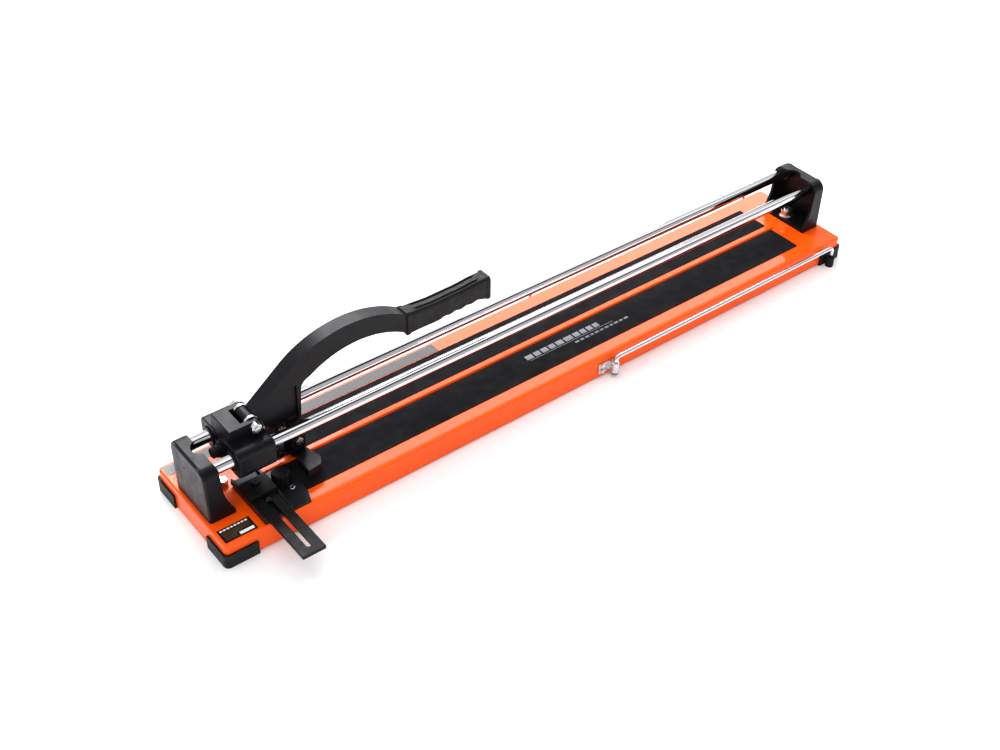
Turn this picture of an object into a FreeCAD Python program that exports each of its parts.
"""A manual rail tile cutter, modelled in millimetres.

+X runs along the cut from the fence end (left) to the far end (right), -Y is the front, +Y is the rear and
+Z is up. The origin is on the bench, under the middle of the cut line.
"""
import FreeCAD, Part
import math
import os

from FreeCAD import Vector

# Base
base_length = 1080.0
base_width = 169.0
base_height = 35.0
sheet = 2.0
skirt_gap = 2.0
base_corner_radius = 6.0
base_edge_radius = 2.5

# Pads and breaking ridge
pad_end_margin = 72.0
pad_side_margin = 23.5
pad_gap = 12.4
pad_thickness = 3.0
pocket_depth = 2.0
ridge_width = 10.0
ridge_height = 3.0
ridge_overrun = 6.0
dimple_from_end = 57.0
dimple_from_line = 21.0
dimple_rise = 1.4
dimple_ball_radius = 15.0

# Stiffening channel under the ridge, and its rubber foot
beam_width = 24.0
beam_wall = 2.0
beam_flange = 12.0
foot_strip_width = 20.0
foot_strip_setback = 8.0

# Corner caps
cap_reach = 43.0
cap_wall = 3.0
cap_ledge = 12.0
cap_height = 20.0

# Rails
rail_radius = 8.0
rail_wall = 1.5
rail_spacing = 54.8
rail_axis_height = 103.4

# Posts
post_inset = 5.0
post_foot_depth = 35.0
post_rim_depth = 20.0
post_width = 84.0
post_wall = 4.0
post_floor = 5.0
post_cover_over_rail = 3.2
post_shoulder_radius = 14.0
post_edge_radius = 4.0
post_foot_rise = 6.0
socket_wall = 2.8
socket_length = 17.0
notch_radius = 13.0
notch_depth = 12.0
post_dimple_radius = 1.6

# Post fastening
stud_from_end = 27.0
stud_offset = 5.0
stud_radius = 5.0
stud_head_radius = 9.0
stud_head_height = 3.0
stud_above_nut = 3.0
washer_radius = 11.5
washer_thickness = 1.6
post_nut_flats = 17.0
post_nut_height = 9.0
nut_corner_round = 0.9
set_screw_radius = 2.5
set_screw_from_end = 10.0

# Labels
label_thickness = 0.3
label_inset = 4.5
label_length = 43.5
label_width = 23.5
strip_length = 413.5
strip_width = 17.0

# Fence
fence_left = 57.0
fence_plate_right = 127.0
fence_plate_step = 6.0
fence_plate_rear = -8.0
fence_front_inset = 2.5
fence_plate_over_pad = 2.5
fence_pivot_from_left = 108.0
fence_pivot_from_front = 51.0
fence_pivot_radius = 3.0
fence_running_gap = 0.3
fence_body_rear = 2.0
fence_floor = 1.8
fence_rail_width = 3.2
fence_lobe_radius = 11.5
fence_lobe_height = 3.7
arm_width = 32.0
arm_thickness = 4.4
arm_root = -20.0
arm_length = 142.0
arm_corner_radius = 1.6
slot_width = 6.5
slot_from_root = 4.5
slot_from_tip = 10.5
bridge_front = -50.0
bridge_rear = -18.0
bridge_height = 6.4
clamp_screw_radius = 2.5
clamp_screw_y = -28.0
clamp_head_radius = 5.0
guide_screw_y = -57.0
guide_head_radius = 4.2
knob_radius = 11.5
knob_height = 14.0
knob_flutes = 12
knob_flute_radius = 1.6
stop_bolt_from_left = 51.0
stop_bolt_offset = 10.0
stop_bolt_flats = 11.0
stop_bolt_head = 8.0
plate_screw_radius = 2.0
plate_screw_head_radius = 4.0
plate_screw_head = 1.6

# Support arms
arm_pivot_past_middle = 66.0
arm_foot_from_right = 29.0
arm_rod_radius = 3.0
arm_foot_radius = 6.3
arm_foot_height = 16.0
arm_foot_gap = 0.8
arm_bend_radius = 7.0
arm_leg_bottom = 4.5
bracket_bottom = 8.0
bracket_top = 24.5
bracket_barrel_radius = 5.5
bracket_plate_length = 23.0
bracket_plate_thickness = 2.0
bracket_screw_radius = 1.6
bracket_screw_head_radius = 3.2
clip_radius = 5.2
clip_thickness = 1.8
running_gap = 0.05

# Carriage
carriage_left = 51.0
carriage_length = 50.0
housing_wall = 9.0
housing_corner_radius = 9.0
bush_wall = 2.6
bush_length = 12.0
bush_flange_overhang = 1.9
bush_flange = 2.0
web_below_axis = 9.0
web_above_axis = 8.6
spine_radius = 8.5
spine_length = 8.0
spine_drop = 2.4
buffer_radius = 7.0
buffer_length = 5.5
fork_width = 44.0
fork_inner_width = 29.0
fork_top_above_pivot = 7.0
fork_ear_reach = 12.0
pivot_from_left = 88.0
pivot_above_rail = 30.1
pivot_radius = 4.0
pivot_nut_flats = 13.0
pivot_nut_thickness = 6.5
pivot_head_thickness = 5.3
hub_radius = 8.4
hub_length = 21.8
fork_washer_radius = 9.8
side_gap = 0.3
bush_screw_radius = 2.5
bush_screw_from_end = 8.0

# Lever
lever_width = 21.0
grip_width = 25.0
grip_length = 133.0
tang_width = 14.0
tang_length = 128.0
groove_depth = 3.0
holder_width = 12.0
holder_thickness = 8.0
holder_from_left = 127.0
holder_bolt_radius = 3.0
holder_bolt_flats = 10.0
lower_leg_width = 16.0
lower_leg_left = 141.0
lower_leg_right = 157.0

# Cutting wheel
wheel_radius = 11.0
wheel_thickness = 3.0
wheel_edge = 0.5
wheel_bevel_from = 6.5
wheel_above_ridge = 2.5
axle_radius = 2.0
axle_head_radius = 3.2
axle_head = 1.2

# Breaker
breaker_above_pad = 10.5
breaker_thickness = 8.0
breaker_pad_thickness = 3.0
breaker_reach = 53.0
breaker_socket_share = 0.6
breaker_bolt_share = 0.45
breaker_leg_share = 0.28
breaker_wall = 4.0
breaker_end_wall = 2.4
breaker_bolt_radius = 3.0
breaker_bolt_flats = 10.0
breaker_bolt_head = 4.0

# Places worked out from the sizes above
left = -base_length / 2
right = base_length / 2
front = -base_width / 2
rear = base_width / 2
pad_inner = pad_gap / 2
pad_outer = rear - pad_side_margin
pad_bottom = base_height - pocket_depth
pad_top = pad_bottom + pad_thickness
ridge_top = base_height + ridge_height
rail_offset = rail_spacing / 2
post_top = rail_axis_height + rail_radius + post_cover_over_rail
post_outer = left + post_inset
post_foot_edge = post_outer + post_foot_depth
post_rim_edge = post_outer + post_rim_depth
post_floor_top = base_height + post_floor
fence_plate_top = pad_top + fence_plate_over_pad
fence_bottom = fence_plate_top + fence_running_gap
fence_channel_floor = fence_bottom + fence_floor
arm_bottom = fence_channel_floor + fence_running_gap
fence_rail_top = arm_bottom + arm_thickness + fence_running_gap
fence_inner_left = left + fence_left + fence_rail_width
fence_inner_right = fence_inner_left + arm_width + 2 * fence_running_gap
fence_right = fence_inner_right + fence_rail_width
arm_middle = (fence_inner_left + fence_inner_right) / 2
fence_pivot_x = left + fence_pivot_from_left
fence_pivot_y = front + fence_pivot_from_front
rod_y = front - cap_wall - arm_foot_radius - arm_foot_gap
rod_z = pad_top - arm_rod_radius
rod_pivot_x = arm_pivot_past_middle
rod_foot_x = right - arm_foot_from_right
bush_radius = rail_radius + bush_wall
housing_half = bush_radius + housing_wall
pivot_x = left + pivot_from_left
pivot_z = rail_axis_height + pivot_above_rail
wheel_x = left + holder_from_left
wheel_z = ridge_top + wheel_above_ridge + wheel_radius
holder_bolt_z = rail_axis_height - 2.4
breaker_bottom = pad_top + breaker_above_pad
breaker_top = breaker_bottom + breaker_thickness
casting_bottom = holder_bolt_z - 11
leg_drop = casting_bottom - breaker_top
leg_end = breaker_top + breaker_leg_share * leg_drop

PLACE = {
    "x": lambda a, b, depth: Vector(depth, a, b),
    "y": lambda a, b, depth: Vector(a, depth, b),
    "z": lambda a, b, depth: Vector(a, b, depth),
}


def box(x, y, z):
    """A block between a low and a high value on each axis."""
    return Part.makeBox(x[1] - x[0], y[1] - y[0], z[1] - z[0], Vector(x[0], y[0], z[0]))


def bar(radius, axis, centre, span):
    """A round bar along an axis, at a centre on the other two axes, between two places."""
    place = PLACE[axis]
    return Part.makeCylinder(radius, span[1] - span[0], place(*centre, span[0]), place(0, 0, 1))


def ring(outer, inner, axis, centre, span):
    """A round bar with a round bore."""
    return bar(outer, axis, centre, span).cut(bar(inner, axis, centre, span))


def prism(path, axis, span):
    """Extrude a closed outline. A step made of two points is an arc through the first to the second."""
    place = PLACE[axis]
    edges = []
    here = path[0]
    for step in path[1:] + path[:1]:
        is_arc = isinstance(step[0], tuple)
        end = step[1] if is_arc else step
        start_point = place(*here, span[0])
        end_point = place(*end, span[0])
        if is_arc:
            edges.append(Part.Arc(start_point, place(*step[0], span[0]), end_point).toShape())
        elif start_point.distanceToPoint(end_point) > 1e-6:
            edges.append(Part.LineSegment(start_point, end_point).toShape())
        here = end
    return Part.Face(Part.Wire(edges)).extrude(place(0, 0, span[1] - span[0]))


def hexagon(flats, axis, centre, span):
    """A six-sided prism, as a nut or a bolt head has."""
    corner = flats / math.sqrt(3)
    angles = [math.radians(60 * step + 30) for step in range(6)]
    points = [(centre[0] + corner * math.cos(a), centre[1] + corner * math.sin(a)) for a in angles]
    return prism(points, axis, span)


def rounded(shape, radius, chosen):
    """Fillet the edges that a test picks."""
    return shape.makeFillet(radius, [edge for edge in shape.Edges if chosen(edge.BoundBox)])


def runs_along(axis):
    """A test for straight edges that run along one axis."""
    def test(bounds):
        lengths = {"x": bounds.XLength, "y": bounds.YLength, "z": bounds.ZLength}
        others = [lengths[name] for name in lengths if name != axis]
        return lengths[axis] > 1e-3 and max(others) < 1e-3
    return test


def at_height(z):
    """A test for edges that lie at one height."""
    return lambda bounds: abs(bounds.ZMin - z) < 1e-3 and abs(bounds.ZMax - z) < 1e-3


def flip_y(shape):
    """The same shape on the other side of the cut line."""
    return shape.mirror(Vector(0, 0, 0), Vector(0, 1, 0))


def flip_x(shape):
    """The same shape at the other end of the base."""
    return shape.mirror(Vector(0, 0, 0), Vector(1, 0, 0))


def both_sides(shape):
    """A shape and its mirror image across the cut line."""
    return [shape, flip_y(shape)]


def join(*shapes):
    """One solid from overlapping shapes."""
    result = shapes[0]
    for shape in shapes[1:]:
        result = result.fuse(shape)
    return result.removeSplitter()


def without(shape, *tools):
    """A shape with others cut away."""
    for tool in tools:
        shape = shape.cut(tool)
    return shape


def save(name, *solids):
    """Write one node, made of one solid or of several separate ones."""
    shape = solids[0] if len(solids) == 1 else Part.makeCompound(list(solids))
    shape.exportStep("parts/" + name + ".step")


# Base ----------------------------------------------------------------------------------------------

def base_envelope():
    """The outside of the pressed tray, filled in."""
    body = box((left, right), (front, rear), (skirt_gap, base_height))
    body = rounded(body, base_corner_radius, runs_along("z"))
    return rounded(body, base_edge_radius, at_height(base_height))


def pad_shape(clearance=0.0):
    """The front pad, or the pocket it lies in."""
    x = (left + pad_end_margin - clearance, right - pad_end_margin + clearance)
    y = (-pad_outer - clearance, -pad_inner + clearance)
    return rounded(box(x, y, (pad_bottom - clearance, pad_top)), 1.5, runs_along("z"))


def dimple(side):
    """A small pressed dome beside the right post."""
    centre_z = base_height + dimple_rise - dimple_ball_radius
    place = Vector(right - dimple_from_end, side * dimple_from_line, centre_z)
    ball = Part.makeSphere(dimple_ball_radius, place, Vector(1, 0, 0))
    keep = box((place.x - 10, place.x + 10), (place.y - 10, place.y + 10), (base_height - 1, base_height + 5))
    return ball.common(keep)


def make_base_plate(fasteners):
    """The folded tray with its pockets, ridge and screw holes."""
    inner = box((left + sheet, right - sheet), (front + sheet, rear - sheet), (0, base_height - sheet))
    inner = rounded(inner, base_corner_radius - sheet, runs_along("z"))
    inner = without(inner, *both_sides(pad_shape(clearance=sheet)))
    tray = without(base_envelope(), inner, *both_sides(pad_shape()))
    ridge_x = (left + pad_end_margin - ridge_overrun, right - pad_end_margin + ridge_overrun)
    ridge = box(ridge_x, (-ridge_width / 2, ridge_width / 2), (base_height - sheet, ridge_top))
    ridge = rounded(ridge, 2.0, at_height(ridge_top))
    tray = join(tray, ridge, dimple(-1), dimple(1))
    return without(tray, *fasteners)


def make_centre_beam():
    """A hat channel that carries the ridge."""
    x = (left + pad_end_margin, right - pad_end_margin)
    half = beam_width / 2
    top = pad_bottom - sheet
    outer = box(x, (-half, half), (skirt_gap, top))
    hollow = box(x, (-half + beam_wall, half - beam_wall), (skirt_gap + beam_wall, top))
    flange = box(x, (-half - beam_flange, -half + beam_wall), (top - beam_wall, top))
    return join(outer.cut(hollow), *both_sides(flange))


def make_centre_foot():
    """A rubber strip under the channel."""
    x = (left + pad_end_margin + foot_strip_setback, right - pad_end_margin - foot_strip_setback)
    half = foot_strip_width / 2
    return box(x, (-half, half), (0, skirt_gap))


def make_corner_cap():
    """The rubber cap of the front left corner."""
    x0 = left - cap_wall
    y0 = front - cap_wall
    along = box((x0, left + cap_reach), (y0, front + cap_ledge), (0, cap_height))
    across = box((x0, left + cap_ledge), (y0, front + cap_reach), (0, cap_height))
    outer = join(along, across)
    corner = lambda b: runs_along("z")(b) and b.XMax < x0 + 1e-3 and b.YMax < y0 + 1e-3
    outer = rounded(outer, base_corner_radius + 1, corner)
    return outer.cut(base_envelope())


# Posts, rails and their fasteners ------------------------------------------------------------------

def post_stud_place():
    return (left + stud_from_end, stud_offset)


def make_stud():
    under = base_height - sheet
    top = post_floor_top + washer_thickness + post_nut_height + stud_above_nut
    head = bar(stud_head_radius, "z", post_stud_place(), (under - stud_head_height, under))
    shank = bar(stud_radius, "z", post_stud_place(), (under, top))
    return join(head, shank)


def make_post_washer():
    span = (post_floor_top, post_floor_top + washer_thickness)
    return ring(washer_radius, stud_radius, "z", post_stud_place(), span)


def make_post_nut():
    bottom = post_floor_top + washer_thickness
    span = (bottom, bottom + post_nut_height)
    nut = hexagon(post_nut_flats, "z", post_stud_place(), span)
    dome = bar(post_nut_flats / 2 + 0.8, "z", post_stud_place(), span)
    dome = rounded(dome, nut_corner_round, at_height(span[1]))
    return nut.common(dome).cut(bar(stud_radius, "z", post_stud_place(), span))


def make_set_screw():
    x = post_outer + set_screw_from_end
    low = rail_axis_height - rail_radius - socket_wall - 1.5
    return bar(set_screw_radius, "z", (x, -rail_offset), (low, rail_axis_height - rail_radius))


def make_post(fasteners):
    """The left post: a casting open towards the cut, with two rail sockets."""
    rise = base_height + post_foot_rise
    profile = [
        (post_outer, base_height),
        (post_foot_edge, base_height),
        (post_foot_edge, rise),
        ((post_rim_edge + 6.5, rise + 18), (post_rim_edge + 2.5, rise + 44)),
        (post_rim_edge, post_top),
        (post_outer, post_top),
    ]
    half = post_width / 2
    body = prism(profile, "y", (-half, half))
    shoulder = lambda b: at_height(post_top)(b) and runs_along("x")(b)
    body = rounded(body, post_shoulder_radius, shoulder)
    outer_edge = lambda b: b.XMax < post_outer + 1e-3 and b.ZMax > base_height + 1
    body = rounded(body, post_edge_radius, outer_edge)
    inner_half = half - post_wall
    hollow = box((post_outer + post_wall, post_foot_edge + 5), (-inner_half, inner_half),
                 (post_floor_top, post_top - post_wall))
    inner_shoulder = lambda b: at_height(post_top - post_wall)(b) and runs_along("x")(b)
    hollow = rounded(hollow, post_shoulder_radius - post_wall, inner_shoulder)
    body = body.cut(hollow)
    for side in (-1, 1):
        centre = (side * rail_offset, rail_axis_height)
        socket = bar(rail_radius + socket_wall, "x", centre, (post_outer + 1, post_outer + socket_length))
        body = join(body, socket)
        body = body.cut(bar(rail_radius, "x", centre, (post_outer + post_wall, post_foot_edge)))
    notch_centre = (post_rim_edge + 4, stud_offset)
    notch = bar(notch_radius, "z", notch_centre, (post_top - notch_depth, post_top + 5))
    mark = bar(post_dimple_radius, "x", (stud_offset + 4, post_top - 25), (post_outer - 1, post_outer + 1))
    body = without(body, notch, mark, *fasteners)
    return max(body.Solids, key=lambda solid: solid.Volume)


def make_rail():
    x = (post_outer + post_wall, -post_outer - post_wall)
    return ring(rail_radius, rail_radius - rail_wall, "x", (-rail_offset, rail_axis_height), x)


# Labels --------------------------------------------------------------------------------------------

def make_rating_label():
    x0 = left + label_inset
    y0 = front + label_inset
    return box((x0, x0 + label_length), (y0, y0 + label_width), (base_height, base_height + label_thickness))


def make_rear_strip():
    x0 = left + label_inset
    y1 = rear - label_inset
    return box((x0, x0 + strip_length), (y1 - strip_width, y1), (base_height, base_height + label_thickness))


# Fence ---------------------------------------------------------------------------------------------

def make_pivot_stud():
    knob_top = fence_bottom + fence_lobe_height + fence_running_gap + knob_height
    return bar(fence_pivot_radius, "z", (fence_pivot_x, fence_pivot_y), (pad_top, knob_top - 2))


def fence_screw_places():
    return [(fence_pivot_x + 6, fence_pivot_y - 16), (fence_pivot_x + 12, fence_pivot_y + 17.5)]


def make_plate_screws():
    """Pan-head screws that hold the fence plate to the base."""
    screws = []
    for place in fence_screw_places():
        shank = bar(plate_screw_radius, "z", place, (base_height - 10, fence_plate_top))
        head = bar(plate_screw_head_radius, "z", place, (fence_plate_top, fence_plate_top + plate_screw_head))
        head = rounded(head, 1.0, at_height(fence_plate_top + plate_screw_head))
        screws.append(join(shank, head))
    return screws


def make_fence_base(fasteners):
    """The plate under the fence, stepped over the pad's edge."""
    x0 = left + fence_left
    x1 = left + fence_plate_right
    y0 = front + fence_front_inset
    step_y = -pad_outer - 5
    outline = [(x0, fence_plate_rear), (x1, fence_plate_rear), (x1, step_y),
               (x1 - fence_plate_step, y0), (x0, y0)]
    plate = prism(outline, "z", (base_height, fence_plate_top))
    return without(plate, pad_shape(), *fasteners)


def make_stop_bolt():
    place = (left + stop_bolt_from_left, stop_bolt_offset)
    head = hexagon(stop_bolt_flats, "z", place, (base_height, base_height + stop_bolt_head))
    shank = bar(3.0, "z", place, (base_height - 8, base_height))
    return join(head, shank)


def make_clamp_screws():
    """The screw that presses the arm, and the screw that guides its slot."""
    floor = fence_channel_floor - 1
    bridge_top = fence_rail_top + bridge_height
    clamp = bar(clamp_screw_radius, "z", (arm_middle, clamp_screw_y), (fence_rail_top, bridge_top))
    clamp_head = bar(clamp_head_radius, "z", (arm_middle, clamp_screw_y), (bridge_top, bridge_top + 2.6))
    clamp_head = rounded(clamp_head, 1.2, at_height(bridge_top + 2.6))
    guide = bar(clamp_screw_radius, "z", (arm_middle, guide_screw_y), (floor, fence_rail_top + 0.2))
    head_span = (fence_rail_top, fence_rail_top + 2.2)
    guide_head = bar(guide_head_radius, "z", (arm_middle, guide_screw_y), head_span)
    guide_head = rounded(guide_head, 1.0, at_height(head_span[1]))
    return [join(clamp, clamp_head), join(guide, guide_head)]


def make_fence_body(fasteners):
    """A channel for the sliding arm, with a lobe that turns on the pivot stud."""
    y = (front + fence_front_inset, fence_body_rear)
    channel = box((left + fence_left, fence_right), y, (fence_bottom, fence_rail_top))
    channel = rounded(channel, 2.0, runs_along("z"))
    gutter = box((fence_inner_left, fence_inner_right), (y[0] - 5, y[1] + 5),
                 (fence_channel_floor, fence_rail_top + 5))
    pivot = (fence_pivot_x, fence_pivot_y)
    lobe_span = (fence_bottom, fence_bottom + fence_lobe_height)
    neck = box((fence_right - 1, pivot[0]), (pivot[1] - 9, pivot[1] + 9), lobe_span)
    lobe = join(bar(fence_lobe_radius, "z", pivot, lobe_span), neck)
    bore = bar(fence_pivot_radius + running_gap, "z", pivot, (0, post_top))
    return without(join(channel.cut(gutter), lobe), bore, *fasteners)


def make_clamp_bridge(fasteners):
    """The block that spans the channel."""
    x = (left + fence_left + 1, fence_right - 1)
    block = box(x, (bridge_front, bridge_rear), (fence_rail_top, fence_rail_top + bridge_height))
    block = rounded(block, 2.5, runs_along("z"))
    block = rounded(block, 1.2, at_height(fence_rail_top + bridge_height))
    return without(block, *fasteners)


def make_slotted_arm():
    """The measuring arm with its long slot."""
    half = arm_width / 2
    tip = arm_root - arm_length
    top = arm_bottom + arm_thickness
    plate = box((arm_middle - half, arm_middle + half), (tip, arm_root), (arm_bottom, top))
    at_tip = lambda b: runs_along("z")(b) and b.YMax < tip + 1e-3
    plate = rounded(plate, arm_corner_radius, at_tip)
    plate = rounded(plate, 0.8, at_height(top))
    ends = (tip + slot_from_tip + slot_width / 2, arm_root - slot_from_root - slot_width / 2)
    span = (0, post_top)
    slot = box((arm_middle - slot_width / 2, arm_middle + slot_width / 2), ends, span)
    for end in ends:
        slot = slot.fuse(bar(slot_width / 2, "z", (arm_middle, end), span))
    return plate.cut(slot)


def make_lock_knob():
    """A fluted knob that locks the fence's angle."""
    pivot = (fence_pivot_x, fence_pivot_y)
    bottom = fence_bottom + fence_lobe_height + fence_running_gap
    top = bottom + knob_height
    knob = bar(knob_radius, "z", pivot, (bottom, top))
    knob = rounded(knob, 2.5, at_height(top))
    for step in range(knob_flutes):
        angle = 2 * math.pi * step / knob_flutes
        reach = knob_radius + 0.6
        place = (pivot[0] + reach * math.cos(angle), pivot[1] + reach * math.sin(angle))
        knob = knob.cut(bar(knob_flute_radius, "z", place, (bottom, top)))
    return knob.cut(bar(fence_pivot_radius + running_gap, "z", pivot, (bottom, top - 1.5)))


# Support arms --------------------------------------------------------------------------------------

def make_arm_rod():
    """A thin rod bent down at both ends."""
    bend = arm_bend_radius
    far = rod_foot_x
    rod_end = arm_foot_height / 2
    corner = bend * (1 - math.sqrt(0.5))
    point = lambda x, z: Vector(x, rod_y, z)
    edges = [
        Part.LineSegment(point(rod_pivot_x, arm_leg_bottom), point(rod_pivot_x, rod_z - bend)).toShape(),
        Part.Arc(point(rod_pivot_x, rod_z - bend), point(rod_pivot_x + corner, rod_z - corner),
                 point(rod_pivot_x + bend, rod_z)).toShape(),
        Part.LineSegment(point(rod_pivot_x + bend, rod_z), point(far - bend, rod_z)).toShape(),
        Part.Arc(point(far - bend, rod_z), point(far - corner, rod_z - corner),
                 point(far, rod_z - bend)).toShape(),
        Part.LineSegment(point(far, rod_z - bend), point(far, rod_end)).toShape(),
    ]
    section = Part.Wire(Part.makeCircle(arm_rod_radius, point(rod_pivot_x, arm_leg_bottom), Vector(0, 0, 1)))
    return Part.Wire(edges).makePipeShell([section], True, True)


def make_arm_foot():
    centre = (rod_foot_x, rod_y)
    foot = rounded(bar(arm_foot_radius, "z", centre, (0, arm_foot_height)), 1.5, at_height(arm_foot_height))
    return foot.cut(bar(arm_rod_radius, "z", centre, (arm_foot_height / 2, arm_foot_height)))


def make_arm_clip():
    top = bracket_bottom - side_gap
    return ring(clip_radius, arm_rod_radius, "z", (rod_pivot_x, rod_y), (top - clip_thickness, top))


def make_bracket_screws():
    """Two screws that hold a bracket to the base's side."""
    screws = []
    x = rod_pivot_x - bracket_plate_length + bracket_barrel_radius + 1
    face = front - bracket_plate_thickness
    for z in (bracket_bottom + 3.5, bracket_top - 3.5):
        shank = bar(bracket_screw_radius, "y", (x, z), (face, front + sheet + 3))
        head = bar(bracket_screw_head_radius, "y", (x, z), (face - 1.8, face))
        screws.append(join(shank, head))
    return screws


def make_arm_bracket(fasteners):
    """A plate on the base's side with an upright barrel for the rod."""
    z = (bracket_bottom, bracket_top)
    plate_x = (rod_pivot_x - bracket_plate_length, rod_pivot_x + bracket_barrel_radius)
    plate = box(plate_x, (front - bracket_plate_thickness, front), z)
    barrel = bar(bracket_barrel_radius, "z", (rod_pivot_x, rod_y), z)
    web = box((rod_pivot_x - bracket_barrel_radius, rod_pivot_x + bracket_barrel_radius), (rod_y, front), z)
    bore = bar(arm_rod_radius + running_gap, "z", (rod_pivot_x, rod_y), z)
    return without(join(plate, barrel, web), bore, *fasteners)


# Carriage ------------------------------------------------------------------------------------------

def carriage_span():
    return (left + carriage_left, left + carriage_left + carriage_length)


def make_bush_screws():
    """Grub screws that hold the bushes."""
    screws = []
    bush = bar(bush_radius, "x", (-rail_offset, rail_axis_height), carriage_span())
    for x in (carriage_span()[0] + bush_screw_from_end, carriage_span()[1] - bush_screw_from_end):
        span = (rail_axis_height, rail_axis_height + housing_half - 0.6)
        screws.append(bar(bush_screw_radius, "z", (x, -rail_offset), span).cut(bush))
    return screws


def make_carriage_body(fasteners):
    """Two bearing housings, the web between them, and the fork that holds the lever."""
    x0, x1 = carriage_span()
    housing = box((x0, x1), (-rail_offset - housing_half, -rail_offset + housing_half),
                  (rail_axis_height - housing_half, rail_axis_height + housing_half))
    housing = rounded(housing, housing_corner_radius, runs_along("x"))
    housing = rounded(housing, 1.6, lambda b: b.XLength < 1e-3)
    web_top = rail_axis_height + web_above_axis
    web = box((x0, x1), (-rail_offset, rail_offset), (rail_axis_height - web_below_axis, web_top))
    spine = bar(spine_radius, "x", (0, rail_axis_height - spine_drop), (x0 - spine_length, x0 + 5))
    spine = rounded(spine, 1.5, lambda b: b.XMax < x0 - spine_length + 1e-3)
    half = fork_width / 2
    fork_top = pivot_z + fork_top_above_pivot
    fork_left = x0 + 3.5
    fork_right = fork_left + 20
    bridge = prism([(fork_left, fork_top), (fork_right, fork_top), (fork_right + 1.5, web_top - 2),
                    (x0 + 1, web_top - 2), (x0 + 1, web_top + 6)], "y", (-half, half))
    bridge = rounded(bridge, 1.5, at_height(fork_top))
    ear_right = pivot_x + fork_ear_reach
    ear = prism([(fork_left + 8, web_top - 2), (fork_left + 8, fork_top), (pivot_x + 3, fork_top),
                 ((pivot_x + 9.8, pivot_z + 3.4), (ear_right, pivot_z - 4)), (ear_right - 0.5, web_top - 2)],
                "y", (-half, -fork_inner_width / 2))
    ear = rounded(ear, 1.0, lambda b: b.YMax < -half + 1e-3 and b.ZMax > web_top)
    body = join(web, spine, bridge, *both_sides(housing), *both_sides(ear))
    bores = both_sides(bar(bush_radius, "x", (-rail_offset, rail_axis_height), (x0 - 1, x1 + 1)))
    pivot_hole = bar(pivot_radius, "y", (pivot_x, pivot_z), (-half - 1, half + 1))
    return without(body, *bores, pivot_hole, *fasteners)


def make_bushes():
    """Two plain bearings for each rail."""
    x0, x1 = carriage_span()
    centre = (-rail_offset, rail_axis_height)
    bore = bar(rail_radius + running_gap, "x", centre, (x0 - 10, x1 + 10))
    bushes = []
    for sleeve, flange in (((x0, x0 + bush_length), (x0 - bush_flange, x0)),
                           ((x1 - bush_length, x1), (x1, x1 + bush_flange))):
        collar = bar(bush_radius + bush_flange_overhang, "x", centre, flange)
        bush = join(bar(bush_radius, "x", centre, sleeve), collar)
        bushes += both_sides(bush.cut(bore))
    return bushes


def make_stop_buffer():
    x1 = carriage_span()[0] - spine_length
    buffer = bar(buffer_radius, "x", (0, rail_axis_height - spine_drop), (x1 - buffer_length, x1))
    return rounded(buffer, 1.5, lambda b: b.XMax < x1 - buffer_length + 1e-3)


def make_pivot_bolt():
    half = fork_width / 2
    centre = (pivot_x, pivot_z)
    shank = bar(pivot_radius, "y", centre, (-half - pivot_nut_thickness - 1.5, half))
    return join(shank, hexagon(pivot_nut_flats, "y", centre, (half, half + pivot_head_thickness)))


def make_pivot_nut():
    half = fork_width / 2
    span = (-half - pivot_nut_thickness, -half)
    nut = hexagon(pivot_nut_flats, "y", (pivot_x, pivot_z), span)
    dome = bar(pivot_nut_flats / 2 + 0.6, "y", (pivot_x, pivot_z), span)
    dome = rounded(dome, nut_corner_round, lambda b: b.YMax < span[0] + 1e-3)
    return nut.common(dome).cut(bar(pivot_radius, "y", (pivot_x, pivot_z), span))


def make_fork_washer():
    inner = fork_inner_width / 2
    span = (-inner, -hub_length / 2 - side_gap)
    return ring(fork_washer_radius, pivot_radius, "y", (pivot_x, pivot_z), span)


# Lever ---------------------------------------------------------------------------------------------

def from_pivot(x, z):
    """A point of the lever, given from its pivot."""
    return (pivot_x + x, pivot_z + z)


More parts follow.
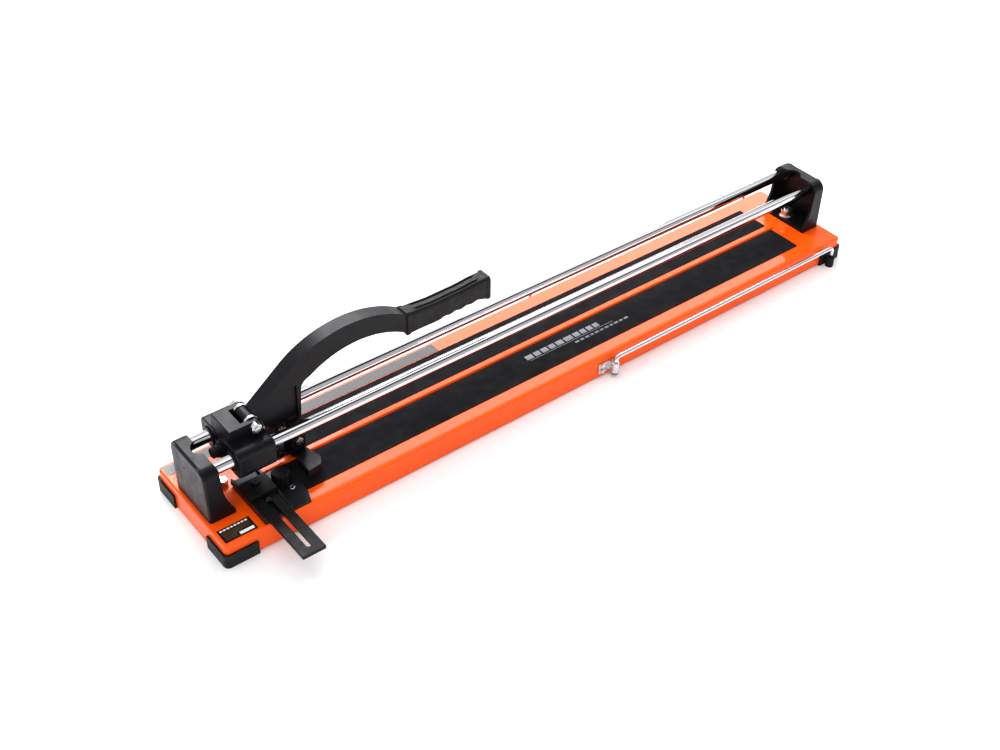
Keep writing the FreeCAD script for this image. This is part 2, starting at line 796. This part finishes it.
def make_handle_casting(fasteners):
    """The arched lever with its hub, tang and lower leg."""
    lug_left = wheel_x - holder_width / 2 - 4
    outline = [
        from_pivot(6.5, 7),
        from_pivot(59.5, 49.5),
        (from_pivot(146.7, 78.1), from_pivot(230, 53.3)),
        from_pivot(230, 46.5),
        from_pivot(230 + tang_length, 46.5),
        from_pivot(230 + tang_length, 32.5),
        from_pivot(230, 32.5),
        from_pivot(230, 25),
        (from_pivot(159.5, 47.6), from_pivot(86, 26.5)),
        (from_pivot(76.5, 21.5), from_pivot(72.5, 12.5)),
        (left + lower_leg_right, rail_axis_height - 3.4),
        (left + lower_leg_right, casting_bottom),
        (lug_left, casting_bottom),
        (lug_left, holder_bolt_z + 7),
        from_pivot(5, -7.5),
    ]
    half = lever_width / 2
    body = prism(outline, "y", (-half, half))
    body = join(body, bar(hub_radius, "y", (pivot_x, pivot_z), (-hub_length / 2, hub_length / 2)))
    tang_x = (pivot_x + 230, pivot_x + 235 + tang_length)
    for y in ((-half - 1, -tang_width / 2), (tang_width / 2, half + 1)):
        body = body.cut(box(tang_x, y, (pivot_z + 20, pivot_z + 60)))
    groove = [
        from_pivot(60, 22),
        from_pivot(66.5, 22),
        (left + lower_leg_right - 4, rail_axis_height - 1),
        (left + lower_leg_right - 10.5, rail_axis_height - 1),
    ]
    for y in ((-half - 1, -half + groove_depth), (half - groove_depth, half + 1)):
        body = body.cut(prism(groove, "y", y))
    boss = box((wheel_x + 9, wheel_x + 23), (-half - 4, half + 4), (holder_bolt_z - 6, holder_bolt_z + 12))
    boss = rounded(boss, 2.0, lambda b: b.YLength < 1e-3)
    lower_half = lower_leg_width / 2
    lower = box((left + lower_leg_left, left + lower_leg_right), (-lower_half, lower_half),
                (leg_end, casting_bottom + 1))
    body = join(body, boss, lower)
    pocket = box((wheel_x - holder_width / 2, wheel_x + holder_width / 2),
                 (-holder_thickness / 2, holder_thickness / 2), (casting_bottom - 5, holder_bolt_z + 12))
    bore = bar(pivot_radius + running_gap, "y", (pivot_x, pivot_z), (-hub_length, hub_length))
    return without(body, pocket, bore, *fasteners)


def make_grip():
    """A rubber sleeve over the tang."""
    start = 230.0
    end = start + grip_length
    outline = [
        from_pivot(start, 56),
        from_pivot(start + 3.5, 56),
        (from_pivot(start + 55, 52), from_pivot(end - 12, 55.5)),
        (from_pivot(end - 1, 41), from_pivot(end - 3, 23)),
        from_pivot(end - 8, 23),
        (from_pivot(start + 55, 19.5), from_pivot(start + 3.5, 23)),
        from_pivot(start, 22),
    ]
    half = grip_width / 2
    sleeve = prism(outline, "y", (-half, half))
    tang = box((pivot_x + start - 1, pivot_x + start + tang_length), (-tang_width / 2, tang_width / 2),
               (pivot_z + 32.5, pivot_z + 46.5))
    return sleeve.cut(tang)


def make_wheel_holder(fasteners):
    """A forked bar that carries the wheel under the lever."""
    half = holder_thickness / 2
    x = (wheel_x - holder_width / 2, wheel_x + holder_width / 2)
    stem = box(x, (-half, half), (wheel_z, holder_bolt_z + 12))
    stem = join(stem, bar(holder_width / 2, "y", (wheel_x, wheel_z), (-half, half)))
    gap = wheel_thickness / 2 + side_gap
    slot = box((wheel_x - 20, wheel_x + 20), (-gap, gap), (0, wheel_z + wheel_radius + 1))
    return without(stem, slot, *fasteners)


def make_wheel_axle():
    half = holder_thickness / 2
    axle = bar(axle_radius, "y", (wheel_x, wheel_z), (-half, half))
    head = bar(axle_head_radius, "y", (wheel_x, wheel_z), (-half - axle_head, -half))
    return join(axle, *both_sides(head))


def make_cutting_wheel():
    """A hard disc ground to an edge."""
    half = wheel_thickness / 2
    profile = [
        (axle_radius + running_gap, -half),
        (wheel_bevel_from, -half),
        (wheel_radius, -wheel_edge / 2),
        (wheel_radius, wheel_edge / 2),
        (wheel_bevel_from, half),
        (axle_radius + running_gap, half),
    ]
    points = [Vector(wheel_x + radius, y, wheel_z) for radius, y in profile]
    face = Part.Face(Part.makePolygon(points + points[:1]))
    return face.revolve(Vector(wheel_x, 0, wheel_z), Vector(0, 1, 0), 360)


def make_holder_bolt():
    half = lever_width / 2
    centre = (wheel_x, holder_bolt_z)
    shank = bar(holder_bolt_radius, "y", centre, (-half - 5.8, half))
    return join(shank, hexagon(holder_bolt_flats, "y", centre, (half, half + 4)))


def make_holder_nut():
    half = lever_width / 2
    centre = (wheel_x, holder_bolt_z)
    span = (-half - 5, -half)
    return hexagon(holder_bolt_flats, "y", centre, span).cut(bar(holder_bolt_radius, "y", centre, span))


def breaker_bolt_centre():
    return (left + (lower_leg_left + lower_leg_right) / 2, breaker_top + breaker_bolt_share * leg_drop)


def make_breaker_bolt():
    half = lower_leg_width / 2 + breaker_wall
    centre = breaker_bolt_centre()
    heads = both_sides(hexagon(breaker_bolt_flats, "y", centre, (-half - breaker_bolt_head, -half)))
    return join(bar(breaker_bolt_radius, "y", centre, (-half, half)), *heads)


def wing_outline():
    """The front wing of the breaker, seen from above."""
    x = left + lower_leg_left
    return [(x + 1, 0), (x + 17, 0), (x + 17, -8), (x + 24, -breaker_reach + 15),
            (x + 17, -breaker_reach + 3), (x - 4, -breaker_reach), (x - 3.5, -breaker_reach + 10), (x + 1, -8)]


def make_breaker_foot(fasteners):
    """Two wings that press the tile apart, and the socket for the lower leg."""
    wing = prism(wing_outline(), "z", (breaker_bottom, breaker_top))
    wing = rounded(wing, 1.5, lambda b: at_height(breaker_top)(b) and b.YMin < -8)
    half = lower_leg_width / 2 + breaker_wall
    x = (left + lower_leg_left - breaker_end_wall, left + lower_leg_right + breaker_end_wall)
    socket = box(x, (-half, half), (breaker_bottom, breaker_top + breaker_socket_share * leg_drop))
    socket = rounded(socket, 2.0, runs_along("z"))
    leg = box((left + lower_leg_left, left + lower_leg_right), (-lower_leg_width / 2, lower_leg_width / 2),
              (leg_end, post_top))
    return without(join(socket, *both_sides(wing)), leg, *fasteners)


def make_breaker_pad():
    """The rubber sole under the front wing."""
    x = left + lower_leg_left
    outline = [(x + 20, -breaker_reach + 20), (x + 22, -breaker_reach + 15), (x + 16, -breaker_reach + 4.5),
               (x - 2.5, -breaker_reach + 2), (x - 2, -breaker_reach + 11), (x, -breaker_reach + 20)]
    return prism(outline, "z", (breaker_bottom - breaker_pad_thickness, breaker_bottom))


# Build and save every node -------------------------------------------------------------------------

os.makedirs("parts", exist_ok=True)
stud = make_stud()
set_screws = both_sides(make_set_screw())
bracket_screws = make_bracket_screws()
plate_screws = make_plate_screws()
stop_bolt = make_stop_bolt()
pivot_stud = make_pivot_stud()
all_bracket_screws = bracket_screws + [flip_y(screw) for screw in bracket_screws]

save("base_plate", make_base_plate([stud, flip_x(stud), stop_bolt, *all_bracket_screws, *plate_screws]))
save("centre_beam", without(make_centre_beam(), *plate_screws))
save("centre_foot", make_centre_foot())
save("front_pad", without(pad_shape(), *plate_screws))
save("rear_pad", flip_y(pad_shape()))
cap = make_corner_cap()
save("corner_cap_front_left", cap)
save("corner_cap_rear_left", flip_y(cap))
save("corner_cap_front_right", flip_x(cap))
save("corner_cap_rear_right", flip_x(flip_y(cap)))

post = make_post([stud, *set_screws])
save("left_post", post)
save("right_post", flip_x(post))
save("post_studs", stud, flip_x(stud))
save("post_washers", make_post_washer(), flip_x(make_post_washer()))
save("post_nuts", make_post_nut(), flip_x(make_post_nut()))
save("rail_set_screws", *set_screws, *[flip_x(screw) for screw in set_screws])
save("front_rail", make_rail())
save("rear_rail", flip_y(make_rail()))
save("rating_label", make_rating_label())
save("rear_strip", make_rear_strip())

save("fence_base", make_fence_base([*plate_screws, pivot_stud]))
save("fence_base_screws", *plate_screws)
save("fence_pivot_stud", pivot_stud)
save("fence_stop_bolt", stop_bolt)
clamp_screws = make_clamp_screws()
save("fence_body", make_fence_body(clamp_screws))
save("clamp_bridge", make_clamp_bridge(clamp_screws))
save("clamp_screws", *clamp_screws)
save("slotted_arm", make_slotted_arm())
save("lock_knob", make_lock_knob())

bracket = make_arm_bracket(bracket_screws)
save("arm_bracket_screws", *all_bracket_screws)
for side, place in (("front", lambda shape: shape), ("rear", flip_y)):
    save(side + "_arm_bracket", place(bracket))
    save(side + "_arm_rod", place(make_arm_rod()))
    save(side + "_arm_foot", place(make_arm_foot()))
    save(side + "_arm_clip", place(make_arm_clip()))

bush_screws = [shape for screw in make_bush_screws() for shape in both_sides(screw)]
save("carriage_body", make_carriage_body(bush_screws))
save("slide_bushes", *make_bushes())
save("bush_screws", *bush_screws)
save("stop_buffer", make_stop_buffer())
save("pivot_bolt", make_pivot_bolt())
save("pivot_nut", make_pivot_nut())
save("fork_washers", *both_sides(make_fork_washer()))

holder_bolt = make_holder_bolt()
breaker_bolt = make_breaker_bolt()
wheel_axle = make_wheel_axle()
save("handle_casting", make_handle_casting([holder_bolt, breaker_bolt]))
save("grip", make_grip())
save("wheel_holder", make_wheel_holder([holder_bolt, wheel_axle]))
save("holder_bolt", holder_bolt)
save("holder_nut", make_holder_nut())
save("wheel_axle", wheel_axle)
save("cutting_wheel", make_cutting_wheel())
save("breaker_foot", make_breaker_foot([breaker_bolt]))
save("breaker_pads", *both_sides(make_breaker_pad()))
save("breaker_bolt", breaker_bolt)
